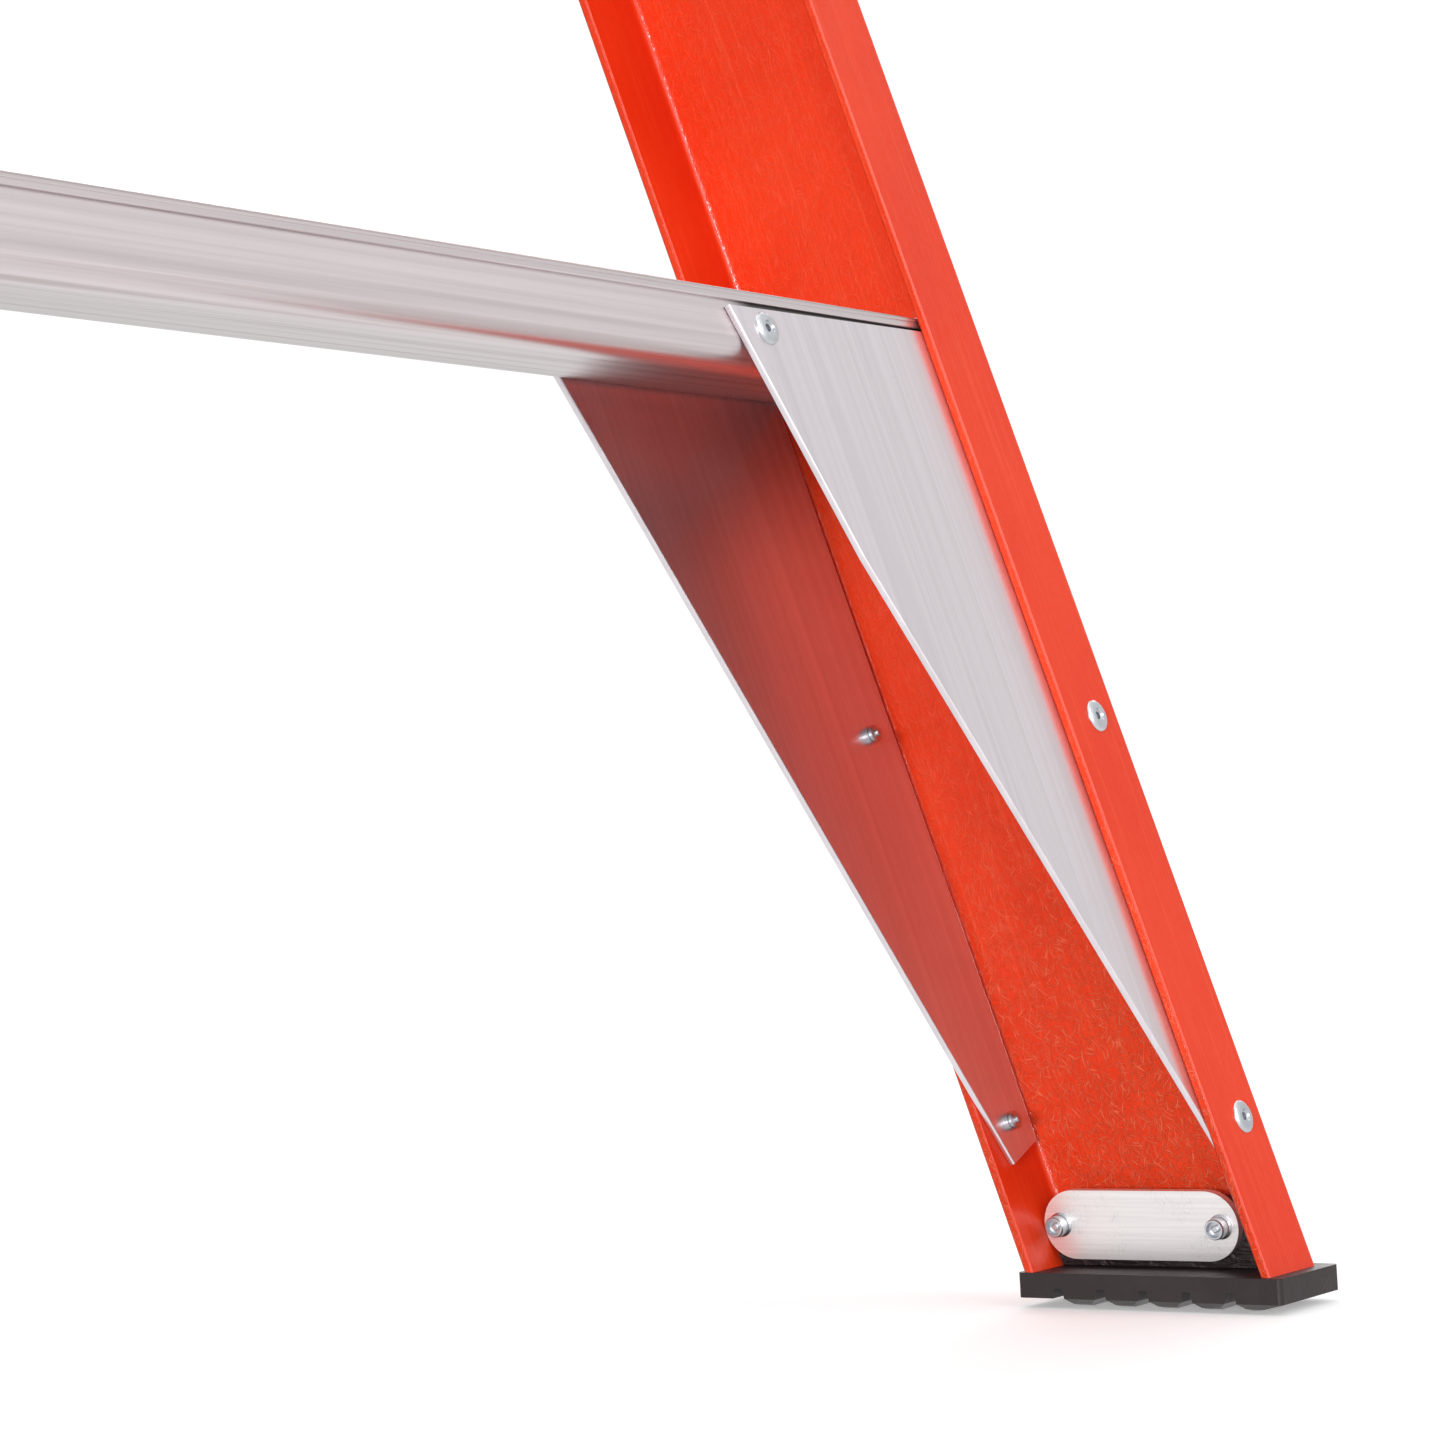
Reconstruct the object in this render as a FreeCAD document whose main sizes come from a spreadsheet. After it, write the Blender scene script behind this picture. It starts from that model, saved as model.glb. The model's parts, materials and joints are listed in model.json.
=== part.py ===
import FreeCAD, Part
import math
import os

import Sketcher

# Extension trestle ladder: an A-frame of two fibreglass sections with a vertical section that
# slides up through the hinge.  Millimetres, +Z up, the user in front at -Y, the origin on the
# ground midway between the four feet.

SIZES = [
    # splayed, leaning channel rails of the base
    ("splay", 0.10), ("lean", 0.28),
    ("foot_half_width", 360.0), ("foot_half_depth", 605.4),
    ("rail_depth", 77.8), ("rail_flange", 29.6), ("rail_wall", 3.0),
    ("rail_outer_round", 2.2), ("rail_inner_round", 2.4), ("rail_edge_round", 0.9),
    ("rail_blank", 1900.0), ("rail_below_foot", 60.0), ("rail_top_height", 1763.0),
    # D-shaped rungs
    ("rung_pitch", 304.8), ("first_tread_height", 294.55), ("rung_blank", 700.0),
    ("rung_front_height", 23.6), ("rung_back_height", 15.7), ("rung_back_reach", 71.2),
    ("rung_middle_reach", 36.0), ("rung_middle_height", 21.9),
    ("rung_lip_reach", 3.4), ("rung_lip_height", 3.2), ("rung_face_reach", 5.2),
    ("rung_tread_reach", 76.0), ("rung_nose_round", 8.0), ("rung_heel_round", 3.0),
    ("rung_lip_round", 0.5), ("rung_belly_round", 220.0),
    ("tread_groove_width", 2.0), ("tread_groove_depth", 0.8), ("tread_groove_pitch", 6.0),
    # end brackets between rung and rail
    ("bracket_wall", 3.0), ("bracket_tab_height", 4.0), ("bracket_tab_reach", 46.0),
    # gussets of the lowest rung
    ("gusset_sheet", 2.0), ("gusset_edge_round", 0.7), ("gusset_inner_edge", 5.6),
    # blind rivets
    ("rivet_head_radius", 4.9), ("rivet_head_height", 1.25), ("rivet_shank_radius", 2.4),
    ("rivet_tail_radius", 2.9), ("rivet_mandrel_radius", 1.2), ("rivet_hole_clearance", 0.04),
    # rubber boots and their clamp plates
    ("boot_height", 10.0), ("boot_groove_height", 5.5), ("boot_width", 36.45),
    ("boot_depth", 87.6), ("boot_outer_overhang", 4.5), ("boot_front_overhang", 4.6),
    ("boot_edge_height", 2.5), ("boot_corner_round", 1.5),
    ("upstand_wall", 9.0), ("upstand_beyond_plate", 0.9), ("upstand_above_centre", 7.0),
    ("upstand_round", 8.0),
    ("plate_length", 64.6), ("plate_height", 20.8), ("plate_sheet", 3.0),
    ("plate_centre_back", 48.9), ("plate_centre_height", 14.4), ("plate_rivet_spacing", 53.3),
    # hinge
    ("hinge_height", 1750.0), ("hinge_bolt_radius", 5.0), ("running_clearance", 0.05),
    ("ear_radius", 15.0), ("ear_wall", 5.0), ("front_ear_lane", 142.0), ("rear_ear_lane", 147.5),
    ("casting_bottom_height", 1692.0), ("casting_top_height", 1752.0),
    # guides and lock
    ("guide_inside", 136.0), ("guide_wall", 4.0), ("guide_lip", 24.0), ("guide_half_depth", 29.1),
    ("guide_lip_wall", 3.0), ("guide_bottom_height", 1690.0), ("guide_top_height", 1800.0),
    ("lock_forward", 45.0), ("lock_height", 1566.0), ("lock_bar_radius", 8.0),
    ("lock_bar_half_length", 141.0), ("prop_inside", 88.0), ("prop_wall", 8.0),
    # extension section
    ("extension_half_width", 135.0), ("extension_depth", 57.0), ("extension_flange", 25.0),
    ("extension_wall", 2.8), ("extension_bottom_height", 260.0), ("extension_top_height", 1850.0),
    ("extension_top_rung_height", 1640.0), ("extension_rung_radius", 15.875),
    ("extension_rung_wall", 1.8), ("swage_radius", 19.5), ("swage_width", 4.0),
    ("cap_wall", 2.0), ("cap_reach", 15.0), ("cap_gap", 0.2),
    # spreaders
    ("spreader_height", 800.0), ("spreader_stand_off", 16.0), ("spreader_half_bar", 10.0),
    ("spreader_bar_wall", 4.0), ("front_arm_lane", 242.5), ("rear_arm_lane", 238.0),
    ("spreader_ear_lane", 247.0), ("spreader_ear_wall", 3.0), ("spreader_bolt_radius", 4.0),
    ("spreader_bracket_width", 31.0), ("spreader_bracket_height", 44.0),
]

RUNG_COUNT = 5
X_AXIS = FreeCAD.Vector(1, 0, 0)
Y_AXIS = FreeCAD.Vector(0, 1, 0)
Z_AXIS = FreeCAD.Vector(0, 0, 1)
ORIGIN = FreeCAD.Vector(0, 0, 0)

doc = FreeCAD.newDocument("ExtensionLadder")
sheet = doc.addObject("Spreadsheet::Sheet", "Sizes")
for row, (name, number) in enumerate(SIZES, start=1):
    sheet.set("A%d" % row, name)
    sheet.set("B%d" % row, str(number))
    sheet.setAlias("B%d" % row, name)
doc.recompute()

SIZE = {name: float(sheet.get(name)) for name, number in SIZES}
NODES = []


def vector(x, y, z):
    return FreeCAD.Vector(x, y, z)


# ---- frames -----------------------------------------------------------------------------------

LEAN_SCALE = 1.0 / math.hypot(1.0, SIZE["lean"])
RAIL_UP = vector(-SIZE["splay"], SIZE["lean"], 1.0).normalize()
RAIL_BACK = vector(0.0, LEAN_SCALE, -SIZE["lean"] * LEAN_SCALE)
RAIL_OUT = RAIL_BACK.cross(RAIL_UP)
RAIL_FOOT = vector(SIZE["foot_half_width"], -SIZE["foot_half_depth"], SIZE["boot_height"])
RAIL_TURN = FreeCAD.Rotation(RAIL_OUT, RAIL_BACK, RAIL_UP, "ZXY")
RAIL_FRAME = FreeCAD.Placement(RAIL_FOOT, RAIL_TURN)

PLATE_BACK = vector(-RAIL_OUT.y, RAIL_OUT.x, 0.0).normalize()
PLATE_UP = RAIL_OUT.cross(PLATE_BACK)
PLATE_TURN = FreeCAD.Rotation(RAIL_OUT, PLATE_BACK, PLATE_UP, "ZXY")

# a sketch drawn in X and Y comes to stand in the Y-Z plane and is padded along +X
SIDE_TURN = FreeCAD.Rotation(Y_AXIS, Z_AXIS, X_AXIS, "ZXY")


def rail_point(out, back, up):
    return RAIL_FRAME.multVec(vector(out, back, up))


def along_rail(height, back, out):
    """Distance up the rail from its foot to the point at this height above the foot."""
    return (height - back * RAIL_BACK.z - out * RAIL_OUT.z) / RAIL_UP.z


def tread_height(index):
    return SIZE["first_tread_height"] + index * SIZE["rung_pitch"]


def front_face_at(height):
    """Y of the front flange's outer plane at a height."""
    return -SIZE["foot_half_depth"] + SIZE["lean"] * (height - SIZE["boot_height"])


# ---- building helpers -------------------------------------------------------------------------

def node(feature, label):
    feature.Label = label
    NODES.append(feature)
    return feature


def hold(sketch, kind, edge, number, axis):
    """Fix one coordinate of an edge's start, by a number or by an expression of the sheet."""
    index = sketch.addConstraint(Sketcher.Constraint(kind, -1, 1, edge, 1, 1.0))
    if isinstance(number, str):
        sketch.setExpression("Constraints[%d]" % index, number)
    elif abs(number) < 1e-9:
        sketch.delConstraint(index)
        sketch.addConstraint(Sketcher.Constraint("PointOnObject", edge, 1, axis))
    else:
        sketch.setDatum(index, number)


def outline(sketch, corners):
    """A closed outline; every corner is held at its own X and Y."""
    first = sketch.GeometryCount
    count = len(corners)
    guesses = [vector(*[1.0 + index * 0.1 if isinstance(c, str) else c for c in corner], 0.0)
               for index, corner in enumerate(corners)]
    for index in range(count):
        sketch.addGeometry(Part.LineSegment(guesses[index], guesses[(index + 1) % count]), False)
    for index in range(count):
        following = first + (index + 1) % count
        sketch.addConstraint(Sketcher.Constraint("Coincident", first + index, 2, following, 1))
    for index, (x, y) in enumerate(corners):
        hold(sketch, "DistanceX", first + index, x, -2)
        hold(sketch, "DistanceY", first + index, y, -1)


def padded(label, corners, length, holes=()):
    """A body padded from an outline, with its sketch and pad for later features."""
    body = doc.addObject("PartDesign::Body", label)
    sketch = body.newObject("Sketcher::SketchObject", label + "_outline")
    plane = [f for f in body.Origin.OriginFeatures if f.Role == "XY_Plane"][0]
    sketch.AttachmentSupport = [(plane, "")]
    sketch.MapMode = "FlatFace"
    outline(sketch, corners)
    for hole in holes:
        outline(sketch, hole)
    pad = body.newObject("PartDesign::Pad", label + "_pad")
    pad.Profile = sketch
    pad.setExpression("Length", length)
    sketch.Visibility = False
    body.Tip = pad
    doc.recompute()
    return body, sketch, pad


def corner_edges(shape, sketch, corners):
    """Names of the edges that run along the pad at the given corners of its sketch."""
    spots = [sketch.Geometry[index].StartPoint for index in corners]
    names = []
    for number, edge in enumerate(shape.Edges, start=1):
        if len(edge.Vertexes) != 2:
            continue
        start, end = edge.Vertexes[0].Point, edge.Vertexes[1].Point
        if math.hypot(start.x - end.x, start.y - end.y) > 1e-4:
            continue
        if any(math.hypot(start.x - s.x, start.y - s.y) < 1e-3 for s in spots):
            names.append("Edge%d" % number)
    return names


def side_edges(shape, sketch, sides):
    """Names of both rim edges over the given sides of the sketch."""
    names = []
    for number, edge in enumerate(shape.Edges, start=1):
        if len(edge.Vertexes) != 2:
            continue
        start, end = edge.Vertexes[0].Point, edge.Vertexes[1].Point
        if abs(start.z - end.z) > 1e-4:
            continue
        for side in sides:
            line = sketch.Geometry[side]
            spots = [line.StartPoint, line.EndPoint]
            near = [min(math.hypot(p.x - s.x, p.y - s.y) for p in (start, end)) for s in spots]
            if max(near) < 1e-3:
                names.append("Edge%d" % number)
    return names


def rounded(body, label, base, edges, radius):
    fillet = body.newObject("PartDesign::Fillet", label)
    fillet.Base = (base, edges)
    fillet.setExpression("Radius", radius)
    body.Tip = fillet
    doc.recompute()
    return fillet


def box(label, low, high):
    feature = doc.addObject("Part::Box", label)
    feature.Length, feature.Width, feature.Height = [b - a for a, b in zip(low, high)]
    feature.Placement = FreeCAD.Placement(vector(*low), FreeCAD.Rotation())
    return feature


def framed_box(label, low, high, frame):
    """A box whose low and high corners are given in a frame."""
    feature = box(label, low, high)
    feature.Placement = frame.multiply(feature.Placement)
    return feature


def cylinder(label, radius, start, length, direction):
    feature = doc.addObject("Part::Cylinder", label)
    if isinstance(radius, str):
        feature.setExpression("Radius", radius)
    else:
        feature.Radius = radius
    feature.Height = length
    feature.Placement = FreeCAD.Placement(start, FreeCAD.Rotation(Z_AXIS, direction))
    return feature


def cut(label, base, tool):
    feature = doc.addObject("Part::Cut", label)
    feature.Base, feature.Tool = base, tool
    return feature


def common(label, base, tool):
    feature = doc.addObject("Part::Common", label)
    feature.Base, feature.Tool = base, tool
    return feature


def fused(label, pieces):
    feature = doc.addObject("Part::MultiFuse", label)
    feature.Shapes = pieces
    return feature


def group(label, pieces):
    feature = doc.addObject("Part::Compound", label)
    feature.Links = pieces
    return feature


def mirrored(label, source, normal):
    feature = doc.addObject("Part::Mirroring", label)
    feature.Source = source
    feature.Base = ORIGIN
    feature.Normal = normal
    return feature


def solids(label, shape):
    """A group of separate solids made in code, such as a set of rivets."""
    feature = doc.addObject("Part::Feature", label)
    feature.Shape = shape
    return feature


def four_corners(stem, source, source_name="front_right"):
    """The front right piece and its mirror images at the other three legs."""
    node(source, "%s_%s" % (source_name, stem))
    left = node(mirrored("front_left_" + stem, source, X_AXIS), "front_left_" + stem)
    node(mirrored("rear_right_" + stem, source, Y_AXIS), "rear_right_" + stem)
    node(mirrored("rear_left_" + stem, left, Y_AXIS), "rear_left_" + stem)


def front_and_rear(stem, source):
    node(source, "front_" + stem)
    node(mirrored("rear_" + stem, source, Y_AXIS), "rear_" + stem)


def both_sides(front_label, other_label, source, normal=X_AXIS):
    node(source, front_label)
    node(mirrored(other_label, source, normal), other_label)


# ---- rivets -----------------------------------------------------------------------------------

def gusset_tail(grip):
    """Short stepped bulb with the broken stub of the mandrel, as (radius, depth) pairs."""
    wide = SIZE["rivet_tail_radius"]
    return [(wide, grip), (wide, grip + 0.9), (wide - 0.5, grip + 1.1), (wide - 0.5, grip + 1.5),
            (wide - 0.15, grip + 1.7), (wide - 0.15, grip + 2.3), (wide - 0.9, grip + 2.8),
            (1.2, grip + 2.9), (1.2, grip + 3.6), (0.0, grip + 3.6)]


def plate_tail(grip):
    """Longer hollow tail on a low collar, with the mandrel's end down inside it."""
    wide = SIZE["rivet_tail_radius"] + 0.2
    return [(wide + 0.6, grip), (wide + 0.6, grip + 0.5), (wide, grip + 0.9),
            (wide, grip + 4.4), (wide - 0.3, grip + 4.8), (wide - 0.7, grip + 4.8),
            (wide - 0.85, grip + 2.8), (1.1, grip + 2.8), (1.1, grip + 3.9),
            (0.8, grip + 4.1), (0.0, grip + 4.1)]


def rivet(grip, start, direction, tail):
    """A blind rivet: domed head outside with the mandrel's hole, and a tail beyond the grip."""
    head, shank = SIZE["rivet_head_radius"], SIZE["rivet_shank_radius"]
    bore, rise = SIZE["rivet_mandrel_radius"], SIZE["rivet_head_height"]
    profile = [(0.0, -rise + 2.2), (bore, -rise + 2.2), (bore, -rise + 0.7),
               (bore + 0.7, -rise + 0.6), (bore + 0.9, -rise + 0.05), (bore + 1.2, -rise),
               (head * 0.70, -rise * 0.92), (head * 0.86, -rise * 0.72),
               (head * 0.96, -rise * 0.45), (head, -rise * 0.20), (head, 0.0), (shank, 0.0),
               (shank, grip)]
    profile += tail(grip)
    points = [vector(r, 0, z) for r, z in profile]
    face = Part.Face(Part.makePolygon(points + points[:1]))
    solid = face.revolve(ORIGIN, Z_AXIS, 360)
    solid.Placement = FreeCAD.Placement(start, FreeCAD.Rotation(Z_AXIS, direction))
    return solid


def shank_hole(start, direction, length):
    radius = SIZE["rivet_shank_radius"] + SIZE["rivet_hole_clearance"]
    return Part.makeCylinder(radius, length + 2.0, start - direction * 1.0, direction)


def gusset_rivet_seats():
    """Start, direction and grip of each rivet that holds the gussets of the right leg."""
    wall, sheet_wall = SIZE["rail_wall"], SIZE["gusset_sheet"]
    back = RAIL_BACK
    seats = []
    for inward, up in ((13.2, 172.4), (12.2, 48.0)):
        seats.append((rail_point(-inward, 0.0, up), back, wall + sheet_wall))
    for inward, up in ((18.6, 192.5), (16.6, 68.2)):
        seats.append((rail_point(-inward, SIZE["rail_depth"], up), back * -1, wall + sheet_wall))
    seats.append((rail_point(-111.6, wall, 297.4), back, sheet_wall + 2.35))
    rear_face = SIZE["rail_depth"] - wall
    seats.append((rail_point(-104.0, rear_face, 314.6), back * -1, sheet_wall + 3.6))
    return seats


def bracket_rivet_seats():
    """Two rivets through the web into each rung's end bracket."""
    seats = []
    grip = SIZE["rail_wall"] + SIZE["bracket_wall"]
    for index in range(RUNG_COUNT):
        height = tread_height(index) - SIZE["boot_height"]
        for back, below in ((20.0, 11.0), (55.0, 9.0)):
            up = along_rail(height - below, back, 0.0)
            seats.append((rail_point(0.0, back, up), RAIL_OUT * -1, grip))
    return seats


def plate_centre(out):
    """Centre of the boot plate, on a plane parallel to the web."""
    spot = RAIL_FOOT + vector(0.0, SIZE["plate_centre_back"], SIZE["plate_centre_height"])
    level = (spot - RAIL_FOOT).dot(RAIL_OUT)
    return spot + RAIL_OUT * (out - level)


def plate_rivet_seats():
    grip = SIZE["rail_wall"] + SIZE["upstand_wall"] + SIZE["plate_sheet"]
    half = SIZE["plate_rivet_spacing"] / 2
    return [(plate_centre(0.0) + PLATE_BACK * side * half, RAIL_OUT * -1, grip)
            for side in (-1, 1)]


GUSSET_SEATS = gusset_rivet_seats()
BRACKET_SEATS = bracket_rivet_seats()
PLATE_SEATS = plate_rivet_seats()


def hole_group(label, seats):
    return solids(label, Part.makeCompound([shank_hole(*seat) for seat in seats]))


def rivet_group(label, seats, tail):
    """The rivets of both legs of a section."""
    right = Part.makeCompound([rivet(grip, start, way, tail) for start, way, grip in seats])
    left = right.mirror(ORIGIN, X_AXIS)
    return solids(label, Part.makeCompound(right.Solids + left.Solids))


# ---- base rails -------------------------------------------------------------------------------

def make_rail(all_holes):
    corners = [("0 * Sizes.rail_wall", 0.0), (0.0, "Sizes.rail_depth"),
               ("-Sizes.rail_flange", "Sizes.rail_depth"),
               ("-Sizes.rail_flange", "Sizes.rail_depth - Sizes.rail_wall"),
               ("-Sizes.rail_wall", "Sizes.rail_depth - Sizes.rail_wall"),
               ("-Sizes.rail_wall", "Sizes.rail_wall"),
               ("-Sizes.rail_flange", "Sizes.rail_wall"), ("-Sizes.rail_flange", 0.0)]
    corners[0] = (0.0, 0.0)
    body, sketch, pad = padded("rail_blank_body", corners, "Sizes.rail_blank")
    rims = corner_edges(pad.Shape, sketch, (2, 3, 6, 7))
    rims = rounded(body, "rail_free_edges", pad, rims, "Sizes.rail_edge_round")
    inner = corner_edges(rims.Shape, sketch, (4, 5))
    inner = rounded(body, "rail_inner_corners", rims, inner, "Sizes.rail_inner_round")
    outer = corner_edges(inner.Shape, sketch, (0, 1))
    rounded(body, "rail_outer_corners", inner, outer, "Sizes.rail_outer_round")
    start = rail_point(0.0, 0.0, -SIZE["rail_below_foot"])
    body.Placement = FreeCAD.Placement(start, RAIL_TURN)
    keep = box("rail_height_limits", (-100.0, -900.0, SIZE["boot_height"]),
               (600.0, 200.0, SIZE["rail_top_height"]))
    trimmed = common("rail_trimmed", body, keep)
    return cut("front_right_rail", trimmed, all_holes)


# ---- rungs ------------------------------------------------------------------------------------

def rung_corners():
    """Cross-section about the tread's front line: X rearwards, Y up."""
    lean = "Sizes.lean"
    face_top = "Sizes.rung_face_reach - %s * Sizes.rung_lip_height" % lean
    face_foot = "Sizes.rung_face_reach - %s * Sizes.rung_front_height" % lean
    heel_top = "Sizes.rung_back_reach + %s * (Sizes.rung_back_height - Sizes.rung_lip_height)"
    lip, cut_in = "Sizes.rung_lip_reach", "Sizes.rung_lip_reach + 0.15"
    corners = [(lip, 0.0), (lip, -1.2), (cut_in, -1.4), (lip, -1.6),
               (lip, "-Sizes.rung_lip_height"),
               (face_top, "-Sizes.rung_lip_height"),
               (face_foot, "-Sizes.rung_front_height"),
               ("Sizes.rung_middle_reach", "-Sizes.rung_middle_height"),
               ("Sizes.rung_back_reach", "-Sizes.rung_back_height"),
               (heel_top % lean, "-Sizes.rung_lip_height"),
               ("Sizes.rung_tread_reach", "-Sizes.rung_lip_height"),
               ("Sizes.rung_tread_reach", 0.0)]
    groove, pitch = SIZE["tread_groove_width"], SIZE["tread_groove_pitch"]
    for index in range(11, 0, -1):
        left = SIZE["rung_lip_reach"] + index * pitch - groove / 2
        corners += [(left + groove, 0.0), (left + groove, "-Sizes.tread_groove_depth"),
                    (left, "-Sizes.tread_groove_depth"), (left, 0.0)]
    return corners


def rung_hollow():
    return [(6.7, -3.0), (72.0, -3.0), (69.6, -14.2), (36.0, -19.6), (4.2, -20.9),
            (2.3, -18.6)]


def make_rung(index, end_limits, holes):
    label = "rung_%d_bar" % (index + 1)
    body, sketch, pad = padded(label, rung_corners(), "Sizes.rung_blank", [rung_hollow()])
    nose = rounded(body, label + "_nose", pad, corner_edges(pad.Shape, sketch, (6,)),
                   "Sizes.rung_nose_round")
    belly = rounded(body, label + "_belly", nose, corner_edges(nose.Shape, sketch, (7,)),
                    "Sizes.rung_belly_round")
    heel = rounded(body, label + "_heel", belly, corner_edges(belly.Shape, sketch, (8,)),
                   "Sizes.rung_heel_round")
    lip = corner_edges(heel.Shape, sketch, (0, 4, 11))
    rounded(body, label + "_lip", heel, lip, "Sizes.rung_lip_round")
    height = tread_height(index)
    start = vector(-SIZE["rung_blank"] / 2, front_face_at(height), height)
    body.Placement = FreeCAD.Placement(start, SIDE_TURN)
    trimmed = cut(label + "_trimmed", body, end_limits)
    name = "rung_%d" % (index + 1)
    if index == 0:
        trimmed = cut(label + "_drilled", trimmed, holes)
    front_and_rear(name, trimmed)


def make_end_limits():
    """Everything beyond the end brackets' inner faces, on both sides."""
    inner = -(SIZE["rail_wall"] + SIZE["bracket_wall"])
    right = framed_box("rung_limit_right", (inner, -60.0, -60.0), (400.0, 140.0, 1900.0),
                       RAIL_FRAME)
    left = mirrored("rung_limit_left", right, X_AXIS)
    return fused("rung_limits", [right, left])


def bracket_corners():
    """The rung's outline, closed, with a low tab above the tread at the front."""
    lean = "Sizes.lean"
    return [("Sizes.rung_face_reach", "Sizes.bracket_tab_height"), ("Sizes.rung_face_reach", 0.0),
            ("Sizes.rung_face_reach - %s * Sizes.rung_front_height" % lean,
             "-Sizes.rung_front_height"),
            ("Sizes.rung_middle_reach", "-Sizes.rung_middle_height"),
            ("Sizes.rung_back_reach", "-Sizes.rung_back_height"), ("Sizes.rung_back_reach", 0.0),
            ("Sizes.bracket_tab_reach + 3", 0.0),
            ("Sizes.bracket_tab_reach", "Sizes.bracket_tab_height")]


def make_brackets(holes):
    """End brackets on the webs that close the rungs' ends, one at each end of each rung."""
    wall = SIZE["rail_wall"]
    side = 2 * SIZE["rail_inner_round"] + 0.8
    low = (-(wall + SIZE["bracket_wall"]), side, 0.0)
    high = (-wall, SIZE["rail_depth"] - side, SIZE["rail_blank"])
    slab = framed_box("bracket_slab", low, high, RAIL_FRAME)
    profiles = []
    for index in range(RUNG_COUNT):
        label = "bracket_%d" % (index + 1)
        body, sketch, pad = padded(label, bracket_corners(), "Sizes.rung_blank / 2")
        rounded(body, label + "_nose", pad, corner_edges(pad.Shape, sketch, (2,)),
                "Sizes.rung_nose_round")
        height = tread_height(index)
        body.Placement = FreeCAD.Placement(vector(60.0, front_face_at(height), height), SIDE_TURN)
        profiles.append(body)
    blanks = common("bracket_blanks", slab, group("bracket_profiles", profiles))
    right = cut("brackets_right", blanks, holes)
    left = mirrored("brackets_left", right, X_AXIS)
    front_and_rear("rung_brackets", group("front_rung_brackets", [right, left]))


# ---- gussets ----------------------------------------------------------------------------------

def make_gusset(name, corners, free_sides, back, holes):
    """A riveted triangular plate; corners are (inwards from the web's face, up the rail)."""
    outline_corners = [(-inward, up) for inward, up in corners]
    body, sketch, pad = padded(name + "_sheet", outline_corners, "Sizes.gusset_sheet")
    edges = side_edges(pad.Shape, sketch, free_sides)
    rounded(body, name + "_hem", pad, edges, "Sizes.gusset_edge_round")
    turn = FreeCAD.Rotation(RAIL_OUT, RAIL_UP, RAIL_BACK * -1, "ZXY")
    body.Placement = FreeCAD.Placement(rail_point(0.0, back, 0.0), turn)
    four_corners(name, cut(name, body, holes))


def make_gussets(holes):
    inner = SIZE["gusset_inner_edge"]
    wall, sheet_wall = SIZE["rail_wall"], SIZE["gusset_sheet"]
    front = [(126.2, 304.6), (103.2, 229.0), (23.0, 35.0), (inner, 39.0), (inner, 294.1)]
    make_gusset("outer_gusset", front, (0, 1), wall + sheet_wall, holes)
    rear = [(118.0, 324.0), (22.2, 55.8), (inner, 60.2), (inner, 313.4)]
    make_gusset("inner_gusset", rear, (0,), SIZE["rail_depth"] - wall, holes)


# ---- boots ------------------------------------------------------------------------------------

def boot_corners():
    """Side outline of the pad: X rearwards from its front edge, Y up from the ground."""
    groove, edge = "Sizes.boot_groove_height", "Sizes.boot_edge_height"
    corners = [(0.0, "Sizes.boot_height"), (0.0, edge), (7.0, 0.8), (11.0, 0.0)]
    for centre in (16.6, 30.9, 45.2, 59.5, 73.8):
        corners += [(centre - 3.9, 0.0), (centre - 1.9, edge), (centre - 1.3, groove),
                    (centre + 1.3, groove), (centre + 1.9, edge)]
        if centre < 70.0:
            corners.append((centre + 6.2, 0.0))
    corners += [("Sizes.boot_depth", edge), ("Sizes.boot_depth", "Sizes.boot_height")]
    return corners


def crown_corners():
    """Cross-section of the pad, lower in the middle than at its sides."""
    width, edge = "Sizes.boot_width", "Sizes.boot_edge_height"
    return [(0.0, "Sizes.boot_height"), (0.0, edge), (3.0, 0.7), (6.0, 0.0),
            (width + " - 6", 0.0), (width + " - 3", 0.7), (width, edge),
            (width, "Sizes.boot_height")]


def make_boot_pad():
    body, sketch, pad = padded("boot_side", boot_corners(), "Sizes.boot_width")
    outer = SIZE["foot_half_width"] + SIZE["boot_outer_overhang"]
    front = -SIZE["foot_half_depth"] - SIZE["boot_front_overhang"]
    start = vector(outer - SIZE["boot_width"], front, 0.0)
    body.Placement = FreeCAD.Placement(start, SIDE_TURN)
    crown, crown_sketch, crown_pad = padded("boot_crown", crown_corners(), "Sizes.boot_depth")
    rounded(crown, "boot_crown_round", crown_pad,
            side_edges(crown_pad.Shape, crown_sketch, (0, 6)), "Sizes.boot_corner_round")
    turn = FreeCAD.Rotation(X_AXIS, Z_AXIS, Y_AXIS * -1, "ZXY")
    start = vector(outer - SIZE["boot_width"], front + SIZE["boot_depth"], 0.0)
    crown.Placement = FreeCAD.Placement(start, turn)
    return common("boot_pad", body, crown)


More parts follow.
